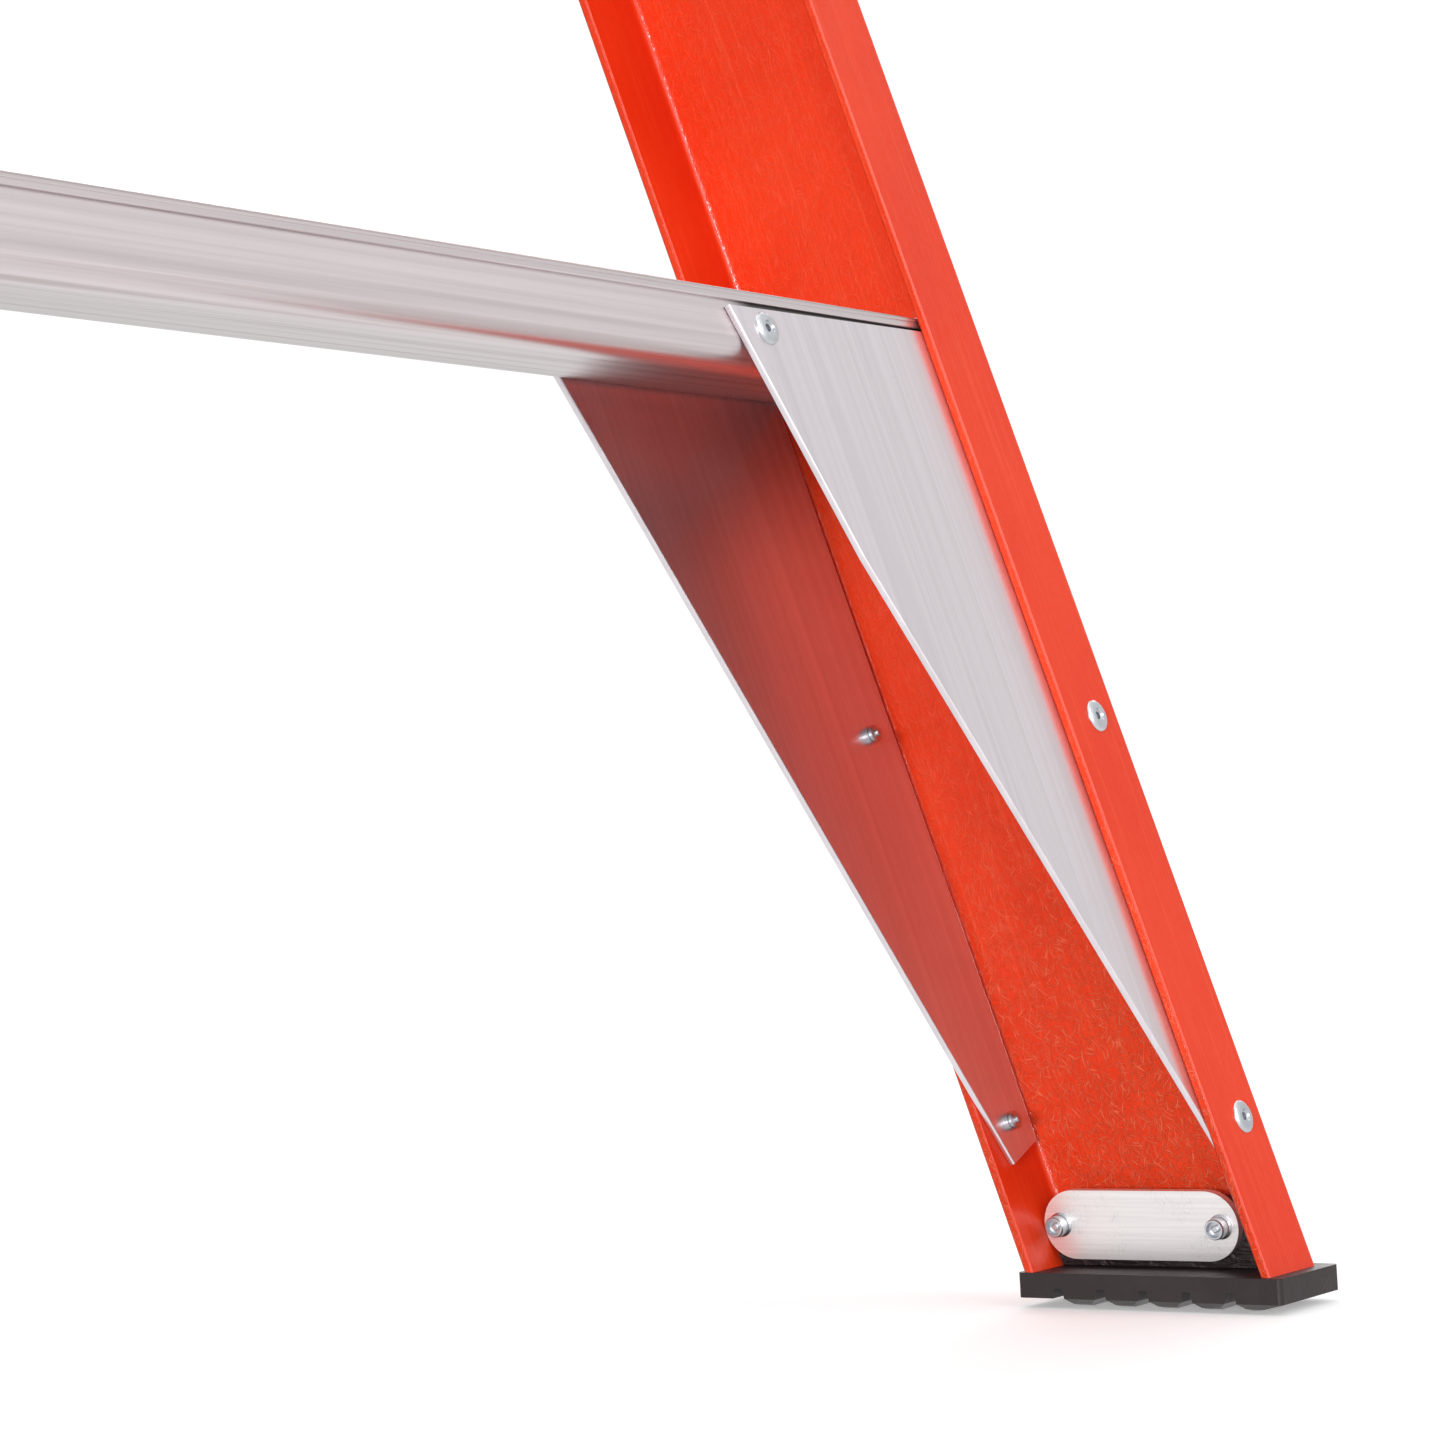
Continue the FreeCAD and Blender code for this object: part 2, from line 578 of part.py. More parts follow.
def make_boot(holes, rail):
    body = make_boot_pad()
    half = "Sizes.plate_length / 2 + Sizes.upstand_beyond_plate"
    top = "Sizes.upstand_above_centre"
    corners = [("-(%s) - 6" % half, -22.0), (half + " + 9.5", -22.0), (half, -2.0), (half, top),
               ("-(%s)" % half, top), ("-(%s)" % half, -2.0)]
    wall, wall_sketch, wall_pad = padded("boot_upstand", corners, "Sizes.upstand_wall")
    rounded(wall, "boot_upstand_round", wall_pad,
            corner_edges(wall_pad.Shape, wall_sketch, (3, 4)), "Sizes.upstand_round")
    turn = FreeCAD.Rotation(PLATE_BACK, PLATE_UP, RAIL_OUT, "ZXY")
    start = plate_centre(-SIZE["rail_wall"] - SIZE["upstand_wall"])
    wall.Placement = FreeCAD.Placement(start, turn)
    above = box("boot_upstand_room", (200.0, -700.0, SIZE["boot_height"] - 1.0),
                (500.0, -400.0, 60.0))
    between = framed_box("channel_inside", (-60.0, SIZE["rail_wall"] + 0.05, -40.0),
                         (-SIZE["rail_wall"], SIZE["rail_depth"] - SIZE["rail_wall"] - 0.05,
                          90.0), RAIL_FRAME)
    room = common("upstand_room", above, between)
    upstand = common("boot_upstand_trimmed", wall, room)
    whole = fused("boot_whole", [body, upstand])
    four_corners("boot", cut("boot_fitted", cut("boot_drilled", whole, holes), rail))


def make_boot_plate(holes):
    half, tall = "Sizes.plate_length / 2", "Sizes.plate_height / 2"
    corners = [("-" + half, "-" + tall), (half, "-" + tall), (half, tall), ("-" + half, tall)]
    body, sketch, pad = padded("boot_plate_sheet", corners, "Sizes.plate_sheet")
    ends = rounded(body, "boot_plate_ends", pad, corner_edges(pad.Shape, sketch, (0, 1, 2, 3)),
                   "Sizes.plate_height / 2 - 0.02")
    turn = FreeCAD.Rotation(PLATE_BACK, PLATE_UP, RAIL_OUT, "ZXY")
    out = -SIZE["rail_wall"] - SIZE["upstand_wall"] - SIZE["plate_sheet"]
    body.Placement = FreeCAD.Placement(plate_centre(out), turn)
    four_corners("boot_plate", cut("boot_plate_drilled", body, holes))


# ---- hinge ------------------------------------------------------------------------------------

def make_casting(name, lane):
    """Block in the rail's mouth with an ear that reaches back to the hinge bolt."""
    wall = SIZE["rail_wall"]
    side = 2 * SIZE["rail_inner_round"] + 0.8
    block = framed_box(name + "_block", (-60.0, side, 1600.0),
                       (-wall, SIZE["rail_depth"] - side, 1900.0), RAIL_FRAME)
    room = box(name + "_room", (lane, -400.0, SIZE["casting_bottom_height"]),
               (300.0, 0.0, SIZE["casting_top_height"]))
    block = common(name + "_block_trimmed", block, room)
    bolt_height = SIZE["hinge_height"]
    reach = SIZE["ear_radius"]
    corners = [(-128.0, 1700.0), (-60.0, 1700.0), (-4.0, bolt_height - reach),
               (0.0, bolt_height - reach), (0.0, bolt_height + reach),
               (-30.0, bolt_height + reach), (-110.0, 1750.0)]
    body, sketch, pad = padded(name + "_ear", corners, "Sizes.ear_wall")
    body.Placement = FreeCAD.Placement(vector(lane, 0.0, 0.0), SIDE_TURN)
    centre = vector(lane, 0.0, bolt_height)
    boss = cylinder(name + "_boss", "Sizes.ear_radius", centre, SIZE["ear_wall"], X_AXIS)
    bore = cylinder(name + "_bore", "Sizes.hinge_bolt_radius + Sizes.running_clearance",
                    vector(lane - 5.0, 0.0, bolt_height), 40.0, X_AXIS)
    return cut(name, fused(name + "_solid", [block, body, boss]), bore)


def make_castings():
    front = make_casting("front_right_hinge_casting", SIZE["front_ear_lane"])
    both_sides("front_right_hinge_casting", "front_left_hinge_casting", front)
    blank = make_casting("rear_casting_blank", SIZE["rear_ear_lane"])
    rear = mirrored("rear_right_hinge_casting", blank, Y_AXIS)
    both_sides("rear_right_hinge_casting", "rear_left_hinge_casting", rear)


def make_hinge_bolts():
    """A stud in each guide plate, with a washer and nut outside the ears."""
    height = SIZE["hinge_height"]
    start = SIZE["guide_inside"] + 0.2
    outer = SIZE["rear_ear_lane"] + SIZE["ear_wall"] + 0.4
    stud = cylinder("bolt_stud", "Sizes.hinge_bolt_radius", vector(start, 0.0, height),
                    outer + 9.0 - start, X_AXIS)
    washer = cylinder("bolt_washer", 10.0, vector(outer, 0.0, height), 1.5, X_AXIS)
    nut = solids("bolt_nut", hexagon(8.5, 6.0, vector(outer + 1.5, 0.0, height)))
    right = fused("bolt_right", [stud, washer, nut])
    left = mirrored("bolt_left", right, X_AXIS)
    node(group("hinge_bolts", [right, left]), "hinge_bolts")


def hexagon(radius, width, start):
    points = [start + vector(0.0, radius * math.cos(math.radians(60 * k)),
                             radius * math.sin(math.radians(60 * k))) for k in range(6)]
    return Part.Face(Part.makePolygon(points + points[:1])).extrude(X_AXIS * width)


# ---- guides and lock --------------------------------------------------------------------------

def make_guides():
    inside, wall = SIZE["guide_inside"], SIZE["guide_wall"]
    half = SIZE["guide_half_depth"]
    outer_half = half + SIZE["guide_lip_wall"]
    low, high = SIZE["guide_bottom_height"], SIZE["guide_top_height"]
    front, lock_z = -SIZE["lock_forward"], SIZE["lock_height"]
    corners = [(front - 13.0, lock_z - 13.0), (front + 13.0, lock_z - 13.0),
               (outer_half, low + 10.0), (outer_half, high), (-outer_half, high),
               (-outer_half, low + 10.0), (front - 13.0, lock_z + 20.0)]
    web, sketch, pad = padded("guide_plate", corners, "Sizes.guide_wall")
    rounded(web, "guide_plate_round", pad, corner_edges(pad.Shape, sketch, (0, 1)), "9")
    web.Placement = FreeCAD.Placement(vector(inside, 0.0, 0.0), SIDE_TURN)
    lip = inside - SIZE["guide_lip"]
    lips = [box("guide_lip_front", (lip, -outer_half, low + 10.0), (inside + wall, -half, high)),
            box("guide_lip_rear", (lip, half, low + 10.0), (inside + wall, outer_half, high))]
    whole = fused("guide_whole", [web] + lips)
    bar = "Sizes.lock_bar_radius + Sizes.running_clearance"
    holes = group("guide_holes", [
        cylinder("guide_lock_hole", bar, vector(inside - 5.0, front, lock_z), 20.0, X_AXIS),
        cylinder("guide_bolt_hole", "Sizes.hinge_bolt_radius",
                 vector(inside - 5.0, 0.0, SIZE["hinge_height"]), 20.0, X_AXIS)])
    both_sides("right_guide_plate", "left_guide_plate", cut("guide_drilled", whole, holes))


def make_lock():
    """A bar across the guides with two props that stand under the held extension rung."""
    forward, height = -SIZE["lock_forward"], SIZE["lock_height"]
    half = SIZE["lock_bar_half_length"]
    bar = cylinder("lock_rod", "Sizes.lock_bar_radius", vector(-half, forward, height),
                   2 * half, X_AXIS)
    ends = [cylinder("lock_cap_right", 11.0, vector(half - 0.6, forward, height), 2.6, X_AXIS),
            cylinder("lock_cap_left", 11.0, vector(-half + 0.6, forward, height), 2.6,
                     X_AXIS * -1)]
    node(fused("lock_bar", [bar] + ends), "lock_bar")
    corners = [(-10.0, -10.0), (0.0, -12.0), (69.6, -9.0), (70.2, 0.0), (69.6, 9.4),
               (88.0, 20.4), (88.0, 26.0), (64.0, 24.0), (46.0, 12.0), (0.0, 12.0), (-10.0, 10.0)]
    prop, sketch, pad = padded("lock_prop_plate", corners, "Sizes.prop_wall")
    rounded(prop, "lock_prop_round", pad, corner_edges(pad.Shape, sketch, (0, 10)), "4")
    rise = SIZE["extension_top_rung_height"] - height
    lean = math.degrees(math.atan2(rise, SIZE["lock_forward"]))
    turn = FreeCAD.Rotation(X_AXIS, lean).multiply(SIDE_TURN)
    prop.Placement = FreeCAD.Placement(vector(SIZE["prop_inside"], forward, height), turn)
    bore = cylinder("lock_prop_bore", "Sizes.lock_bar_radius",
                    vector(SIZE["prop_inside"] - 5.0, forward, height), 20.0, X_AXIS)
    both_sides("right_lock_prop", "left_lock_prop", cut("lock_prop_drilled", prop, bore))


# ---- extension section ------------------------------------------------------------------------

def make_extension_rails(rung_holes):
    corners = [(0.0, "-Sizes.extension_depth / 2"), (0.0, "Sizes.extension_depth / 2"),
               ("-Sizes.extension_flange", "Sizes.extension_depth / 2"),
               ("-Sizes.extension_flange", "Sizes.extension_depth / 2 - Sizes.extension_wall"),
               ("-Sizes.extension_wall", "Sizes.extension_depth / 2 - Sizes.extension_wall"),
               ("-Sizes.extension_wall", "Sizes.extension_wall - Sizes.extension_depth / 2"),
               ("-Sizes.extension_flange", "Sizes.extension_wall - Sizes.extension_depth / 2"),
               ("-Sizes.extension_flange", "-Sizes.extension_depth / 2")]
    length = "Sizes.extension_top_height - Sizes.extension_bottom_height"
    body, sketch, pad = padded("extension_channel", corners, length)
    rims = rounded(body, "extension_free_edges", pad,
                   corner_edges(pad.Shape, sketch, (2, 3, 6, 7)), "Sizes.rail_edge_round")
    inner = rounded(body, "extension_inner_corners", rims,
                    corner_edges(rims.Shape, sketch, (4, 5)), "Sizes.rail_outer_round")
    rounded(body, "extension_outer_corners", inner, corner_edges(inner.Shape, sketch, (0, 1)),
            "Sizes.rail_outer_round")
    start = vector(SIZE["extension_half_width"], 0.0, SIZE["extension_bottom_height"])
    body.Placement = FreeCAD.Placement(start, FreeCAD.Rotation())
    drilled = cut("extension_rail_drilled", body, rung_holes)
    both_sides("extension_right_rail", "extension_left_rail", drilled)


def extension_rung_height(index):
    return SIZE["extension_top_rung_height"] - (RUNG_COUNT - 1 - index) * SIZE["rung_pitch"]


def make_extension_rungs():
    """Round rungs through both webs, swaged against the inner faces."""
    face = SIZE["extension_half_width"] - SIZE["extension_wall"]
    half = SIZE["extension_half_width"] - 0.3
    holes = []
    for index in range(RUNG_COUNT):
        height = extension_rung_height(index)
        label = "extension_rung_%d" % (index + 1)
        tube = cylinder(label + "_tube", "Sizes.extension_rung_radius",
                        vector(-half, 0.0, height), 2 * half, X_AXIS)
        rings = [cylinder(label + "_ring_right", "Sizes.swage_radius",
                          vector(face, 0.0, height), SIZE["swage_width"], X_AXIS * -1),
                 cylinder(label + "_ring_left", "Sizes.swage_radius",
                          vector(-face, 0.0, height), SIZE["swage_width"], X_AXIS)]
        bore = cylinder(label + "_bore", "Sizes.extension_rung_radius - Sizes.extension_rung_wall",
                        vector(-half - 5.0, 0.0, height), 2 * half + 10.0, X_AXIS)
        node(cut(label, fused(label + "_solid", [tube] + rings), bore), label)
        holes.append(cylinder(label + "_hole", "Sizes.extension_rung_radius + 0.05",
                              vector(face - 10.0, 0.0, height), 40.0, X_AXIS))
    return group("extension_rung_holes", holes)


def make_end_caps():
    outer = SIZE["extension_half_width"]
    half = SIZE["extension_depth"] / 2
    inner = outer - SIZE["extension_flange"]
    wall, gap, reach = SIZE["cap_wall"], SIZE["cap_gap"], SIZE["cap_reach"]
    caps = []
    for name, end, way in (("top", SIZE["extension_top_height"], 1.0),
                           ("bottom", SIZE["extension_bottom_height"], -1.0)):
        levels = sorted((end - way * reach, end + way * 4.0))
        room = sorted((end - way * (reach + 5.0), end))
        shell = box("cap_shell_" + name, (inner - wall, -half - wall, levels[0]),
                    (outer + wall, half + wall, levels[1]))
        hollow = box("cap_hollow_" + name, (inner - gap, -half - gap, room[0]),
                     (outer + gap, half + gap, room[1]))
        caps.append(cut("cap_" + name, shell, hollow))
    right = group("caps_right", caps)
    left = mirrored("caps_left", right, X_AXIS)
    node(group("extension_end_caps", [right, left]), "extension_end_caps")


# ---- spreaders --------------------------------------------------------------------------------

def spreader_pivot():
    """Y and Z of the front spreader pivot: off the rail's rear plane, at the sheet's height."""
    height = SIZE["spreader_height"]
    off = SIZE["rail_depth"] + SIZE["spreader_stand_off"]
    return front_face_at(height) + off / LEAN_SCALE, height


def make_arm(name, lane, outside):
    """Flat bar from the rail pivot to the centre, with a rivet boss at the centre."""
    pivot_y, height = spreader_pivot()
    half, wall = SIZE["spreader_half_bar"], SIZE["spreader_bar_wall"]
    bar = box(name + "_bar", (lane, pivot_y, height - half), (lane + wall, 0.0, height + half))
    ends = [cylinder(name + "_end_" + tag, "Sizes.spreader_half_bar", vector(lane, y, height),
                     wall, X_AXIS) for tag, y in (("rail", pivot_y), ("centre", 0.0))]
    side = lane + wall if outside else lane - 2.5
    boss = cylinder(name + "_centre_rivet", 6.5, vector(side, 0.0, height), 2.5, X_AXIS)
    bore = cylinder(name + "_bore", "Sizes.spreader_bolt_radius + Sizes.running_clearance",
                    vector(lane - 5.0, pivot_y, height), 20.0, X_AXIS)
    return cut(name, fused(name + "_solid", [bar] + ends + [boss]), bore)


def make_arms():
    front = make_arm("front_right_spreader_arm", SIZE["front_arm_lane"], True)
    both_sides("front_right_spreader_arm", "front_left_spreader_arm", front)
    blank = make_arm("rear_arm_blank", SIZE["rear_arm_lane"], False)
    rear = mirrored("rear_right_spreader_arm", blank, Y_AXIS)
    both_sides("rear_right_spreader_arm", "rear_left_spreader_arm", rear)


def make_spreader_bracket(name, pin_end):
    """Angle riveted to the rail's rear flange, its ear carrying the arm's pivot pin."""
    pivot_y, height = spreader_pivot()
    lane, wall = SIZE["spreader_ear_lane"], SIZE["spreader_ear_wall"]
    depth = SIZE["rail_depth"]
    turn = FreeCAD.Placement(vector(0.0, front_face_at(height), height),
                             FreeCAD.Rotation(X_AXIS, RAIL_BACK, X_AXIS.cross(RAIL_BACK), "ZXY"))
    tall = SIZE["spreader_bracket_height"] / 2
    centre = -depth * SIZE["lean"] - SIZE["spreader_stand_off"] * SIZE["lean"]
    centre = turn.inverse().multVec(vector(0.0, pivot_y, height)).z
    base = framed_box(name + "_base", (lane, depth, centre - tall),
                      (lane + SIZE["spreader_bracket_width"], depth + wall, centre + tall), turn)
    ear = framed_box(name + "_ear", (lane, depth, centre - 12.0),
                     (lane + wall, depth + SIZE["spreader_stand_off"], centre + 12.0), turn)
    boss = cylinder(name + "_boss", 12.0, vector(lane, pivot_y, height), wall, X_AXIS)
    pin = cylinder(name + "_pin", "Sizes.spreader_bolt_radius", vector(pin_end, pivot_y, height),
                   lane + wall + 4.0 - pin_end, X_AXIS)
    heads = [cylinder(name + "_head", 7.0, vector(lane + wall, pivot_y, height), 3.5, X_AXIS),
             cylinder(name + "_keeper", 7.0, vector(pin_end - 2.2, pivot_y, height), 2.4, X_AXIS)]
    studs = [cylinder("%s_rivet_%d" % (name, k),
                      4.5, turn.multVec(vector(lane + 21.0, depth + wall, centre + k * 14.0)),
                      2.0, RAIL_BACK) for k in (-1, 1)]
    right = fused(name + "_right", [base, ear, boss, pin] + heads + studs)
    return group(name, [right, mirrored(name + "_left", right, X_AXIS)])


def make_spreader_brackets():
    front = make_spreader_bracket("front_spreader_brackets", SIZE["front_arm_lane"] - 0.5)
    node(front, "front_spreader_brackets")
    blank = make_spreader_bracket("rear_bracket_blank", SIZE["rear_arm_lane"] - 0.5)
    node(mirrored("rear_spreader_brackets", blank, Y_AXIS), "rear_spreader_brackets")


# ---- assembly ---------------------------------------------------------------------------------

def build():
    gusset_holes = hole_group("gusset_rivet_holes", GUSSET_SEATS)
    plate_holes = hole_group("plate_rivet_holes", PLATE_SEATS)
    bracket_holes = hole_group("bracket_rivet_holes", BRACKET_SEATS)
    all_holes = hole_group("rail_rivet_holes", GUSSET_SEATS + PLATE_SEATS + BRACKET_SEATS)
    rail = make_rail(all_holes)
    four_corners("rail", rail)
    mirrored_holes = mirrored("gusset_rivet_holes_left", gusset_holes, X_AXIS)
    rung_holes = group("rung_rivet_holes", [gusset_holes, mirrored_holes])
    end_limits = make_end_limits()
    for index in range(RUNG_COUNT):
        make_rung(index, end_limits, rung_holes)
    make_brackets(bracket_holes)
    make_gussets(gusset_holes)
    front_and_rear("rivets", rivet_group("section_rivets", GUSSET_SEATS + BRACKET_SEATS,
                                         gusset_tail))
    make_boot(plate_holes, rail)
    make_boot_plate(plate_holes)
    front_and_rear("boot_rivets", rivet_group("plate_rivets", PLATE_SEATS, plate_tail))
    make_castings()
    make_hinge_bolts()
    make_guides()
    make_lock()
    make_extension_rails(make_extension_rungs())
    make_end_caps()
    make_arms()
    make_spreader_brackets()


def check_and_write():
    doc.recompute()
    for feature in doc.Objects:
        if "Invalid" in feature.State or "Error" in feature.State:
            raise RuntimeError("broken feature: " + feature.Name)
    os.makedirs("parts", exist_ok=True)
    for feature in NODES:
        shape = feature.Shape
        if shape.isNull() or not shape.isValid() or not shape.Solids:
            raise RuntimeError("bad shape: " + feature.Label)
        shape.exportStep(os.path.join("parts", feature.Label + ".step"))
        bounds = shape.BoundBox
        print("%-32s solids %2d volume %10.1f  x %8.1f %8.1f  y %8.1f %8.1f  z %7.1f %7.1f" % (
            feature.Label, len(shape.Solids), shape.Volume, bounds.XMin, bounds.XMax,
            bounds.YMin, bounds.YMax, bounds.ZMin, bounds.ZMax))


build()
check_and_write()
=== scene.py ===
import json
import math

import bpy
from mathutils import Euler, Matrix, Vector


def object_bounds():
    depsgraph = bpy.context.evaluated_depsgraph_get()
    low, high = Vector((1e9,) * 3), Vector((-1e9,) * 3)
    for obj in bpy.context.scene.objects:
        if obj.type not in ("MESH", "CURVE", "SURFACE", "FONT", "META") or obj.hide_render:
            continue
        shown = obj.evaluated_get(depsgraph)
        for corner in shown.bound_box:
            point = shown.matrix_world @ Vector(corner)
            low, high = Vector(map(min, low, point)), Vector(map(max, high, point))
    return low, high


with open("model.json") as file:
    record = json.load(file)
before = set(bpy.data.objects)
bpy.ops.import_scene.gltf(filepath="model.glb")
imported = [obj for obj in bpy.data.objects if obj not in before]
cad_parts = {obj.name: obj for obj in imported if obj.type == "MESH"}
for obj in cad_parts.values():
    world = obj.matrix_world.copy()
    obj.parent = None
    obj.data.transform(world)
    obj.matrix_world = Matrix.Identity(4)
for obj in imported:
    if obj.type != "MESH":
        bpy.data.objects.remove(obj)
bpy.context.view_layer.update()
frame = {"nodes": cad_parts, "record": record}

SCENE = bpy.context.scene
NODES = frame["nodes"]


# ---- sizes of the built parts that the materials follow, in metres ----------------------------

# the base rails' lean (rearward per rise) and splay (inward per rise), as built,
# and the directions of the front right rail
LEAN, SPLAY = 0.28, 0.10
RAIL_UP = Vector((-SPLAY, LEAN, 1.0)).normalized()
RAIL_BACK = Vector((0.0, 1.0, -LEAN)).normalized()
RAIL_OUT = RAIL_BACK.cross(RAIL_UP)

RUNG_PITCH = 0.3048
FIRST_TREAD = 0.29455           # the lowest tread above the ground
LIP_HEIGHT = 0.0032             # of the lip along a tread's front edge
GUSSET_TIP = 0.206              # a gusset's inner top corner, from the middle of the ladder
BOOT_SKIN = (0.0098, 0.0104)    # heights at which a boot's wrinkles start and are at their full
FIBRES_SHOW = (0.05, 0.20)      # heights below which the fibres and their painted glints show fully, and above which least


# ---- colours and finishes ---------------------------------------------------------------------

WHITE = (1.0, 1.0, 1.0, 1.0)
FIBREGLASS = (0.900, 0.052, 0.009, 1.0)
FIBREGLASS_DEEP = (0.840, 0.041, 0.006, 1.0)
FIBREGLASS_PALE = (1.000, 0.130, 0.045, 1.0)
# the fibres' pale colour: the veil's own lighter strands, made paler still as painted glints
FIBRE_STRAND_GLINT = (1.000, 0.240, 0.120, 1.0)
RUBBER, RUBBER_DUST = (0.018, 0.010, 0.011, 1.0), (0.038, 0.025, 0.025, 1.0)
PLASTIC, PLASTIC_HAZE = (0.014, 0.014, 0.015, 1.0), (0.024, 0.024, 0.025, 1.0)
EDGE_LINE = (0.230, 0.175, 0.155, 1.0)
# die lines, darkened on the rungs' undersides partly as a painted reflection
DIE_LINE_AND_REFLECTION = (0.400, 0.330, 0.325, 1.0)
# painted shadow in the gap between a tread's lip and the gusset's top edge
GAP_SHADOW = (0.020, 0.014, 0.012, 1.0)

SHARPEST_METAL = 0.285          # no drawn metal is less rough than this
DRAWN_LINE_DEPTH = 0.00001
SCRATCH_WIDTH = 0.012           # as a share of the noise's whole range

# the veil's fibres: the angle each set runs at across the web, in degrees, and its seed
FIBRE_SETS = ((12.0, 0.0), (-38.0, 4.1), (55.0, 8.3), (-75.0, 12.7), (88.0, 16.9))
FIBRE_LENGTHWISE, FIBRE_CROSSWISE = 190.0, 2600.0       # noise cells per metre


# ---- room, lights and camera ------------------------------------------------------------------

FLOOR_HALF = 400.0
FLOOR_GAP = 0.0005              # below the soles, so that no two faces lie in the same plane
FLOOR_GLOW = 0.30

# the room's strength by how steeply a ray points up: from, to, strength at from, strength at to
OVERHEAD = (0.20, 0.90, 0.76, 0.98)
UNDERFOOT = (-0.35, -0.02, 0.26, 0.0)
MATT_ROOM_LIGHT = 0.38
BACKDROP = 1.05

# name, where it shines from, spread in degrees, strength
SUNS = (
    ("channel", (-0.97, -0.20, 0.10), 14.0, 1.62),
    ("sparkle", (-0.70, -0.56, 0.10), 6.0, 0.30),
    ("front_fill", (-0.10, -0.90, 0.45), 50.0, 1.20),
    ("far_side", (0.80, 0.50, 0.55), 50.0, 1.30),
    ("top", (0.0, 0.1, 1.0), 60.0, 0.60),
)

SENSOR_WIDTH, LENS = 36.0, 89.6730104       # millimetres
NEAREST, FARTHEST = 0.02, 50.0
CAMERA_PLACE = (-0.593084, -1.092935, 0.138680)
CAMERA_TURN = (92.13745, 3.16503, -53.93566)        # degrees about X, Y and Z


# ---- shader helpers ---------------------------------------------------------------------------

class Nodes:
    """A node tree, with short names for adding nodes to it."""

    def __init__(self, tree):
        self.tree = tree
        tree.nodes.clear()

    def feed(self, socket, value):
        if isinstance(value, bpy.types.NodeSocket):
            self.tree.links.new(value, socket)
        else:
            socket.default_value = value

    def add(self, kind, inputs, output=0, **settings):
        made = self.tree.nodes.new(kind)
        for key, value in settings.items():
            setattr(made, key, value)
        for key, value in inputs.items():
            self.feed(made.inputs[key], value)
        return made.outputs[output]

    def math(self, operation, a, b=0.0):
        return self.add("ShaderNodeMath", {0: a, 1: b}, operation=operation)

    def plus(self, a, b):
        return self.math("ADD", a, b)

    def minus(self, a, b):
        return self.math("SUBTRACT", a, b)

    def times(self, a, b):
        return self.math("MULTIPLY", a, b)

    def most(self, a, b):
        return self.math("MAXIMUM", a, b)

    def unsigned(self, a):
        return self.math("ABSOLUTE", a)

    def vector(self, operation, a, b=(0.0, 0.0, 0.0), output=0):
        return self.add("ShaderNodeVectorMath", {0: a, 1: b}, output, operation=operation)

    def dot(self, a, axis):
        return self.vector("DOT_PRODUCT", a, tuple(axis), output="Value")

    def part(self, coordinates, axis):
        return self.add("ShaderNodeSeparateXYZ", {0: coordinates}, axis)

    def combine(self, x, y, z):
        return self.add("ShaderNodeCombineXYZ", {0: x, 1: y, 2: z})

    def scaled(self, coordinates, factors):
        return self.vector("MULTIPLY", coordinates, factors)

    def noise(self, coordinates, scale, detail=3.0, roughness=0.5, distortion=0.0):
        return self.add("ShaderNodeTexNoise", {"Vector": coordinates, "Scale": scale,
                        "Detail": detail, "Roughness": roughness, "Distortion": distortion})

    def slope(self, value, low, high, start=0.0, end=1.0, interpolation="LINEAR"):
        """From start at low to end at high, and level beyond them."""
        return self.add("ShaderNodeMapRange", {0: value, 1: low, 2: high, 3: start, 4: end},
                        interpolation_type=interpolation)

    def ramp(self, value, low, high, start=0.0, end=1.0):
        """Like slope, but eased at both ends."""
        return self.slope(value, low, high, start, end, "SMOOTHSTEP")

    def band(self, value, start, full, fade, end):
        """One from full to fade, and zero below start and above end."""
        return self.times(self.ramp(value, end, fade), self.ramp(value, start, full))

    def mix(self, factor, a, b):
        return self.add("ShaderNodeMix", {0: factor, 6: a, 7: b}, 2, data_type="RGBA")

    def choose(self, ray, otherwise, chosen):
        """One number for the rays of a kind, another for all others."""
        is_kind = self.add("ShaderNodeLightPath", {}, ray)
        return self.add("ShaderNodeMix", {0: is_kind, 2: otherwise, 3: chosen}, 0,
                        data_type="FLOAT")

    def bump(self, height, distance, strength=1.0, normal=None):
        inputs = {"Height": height, "Distance": distance, "Strength": strength}
        if normal is not None:
            inputs["Normal"] = normal
        return self.add("ShaderNodeBump", inputs)

    def object_coordinates(self):
        return self.add("ShaderNodeTexCoord", {}, "Object")

    def object_normal(self):
        return self.add("ShaderNodeTexCoord", {}, "Normal")


class Graph(Nodes):
    """A new material's node tree with a Principled shader."""

    def __init__(self, name):
        self.material = bpy.data.materials.new(name)
        self.material.use_nodes = True
        super().__init__(self.material.node_tree)
        output = self.tree.nodes.new("ShaderNodeOutputMaterial")
        self.shader = self.tree.nodes.new("ShaderNodeBsdfPrincipled")
        self.tree.links.new(self.shader.outputs[0], output.inputs[0])

    def set(self, **values):
        for key, value in values.items():
            self.feed(self.shader.inputs[key.replace("_", " ")], value)


def grey(value, warm=0.0):
    return (value * (1 + warm), value, value * (1 - warm), 1.0)


def shade(colour, factor):
    return tuple(min(1.0, c * factor) for c in colour[:3]) + (1.0,)


def unsigned(axis):
    return tuple(abs(v) for v in axis)


def rail_coordinates(g, position):
    """Out, back and up along the leaning rail; the same on all four rails.

    The ladder is folded onto its right rear quarter, where the front rail's axes are mirrored.
    """
    folded = g.vector("ABSOLUTE", position)
    return g.combine(*(g.dot(folded, (axis.x, -axis.y, axis.z))
                       for axis in (RAIL_OUT, RAIL_BACK, RAIL_UP)))


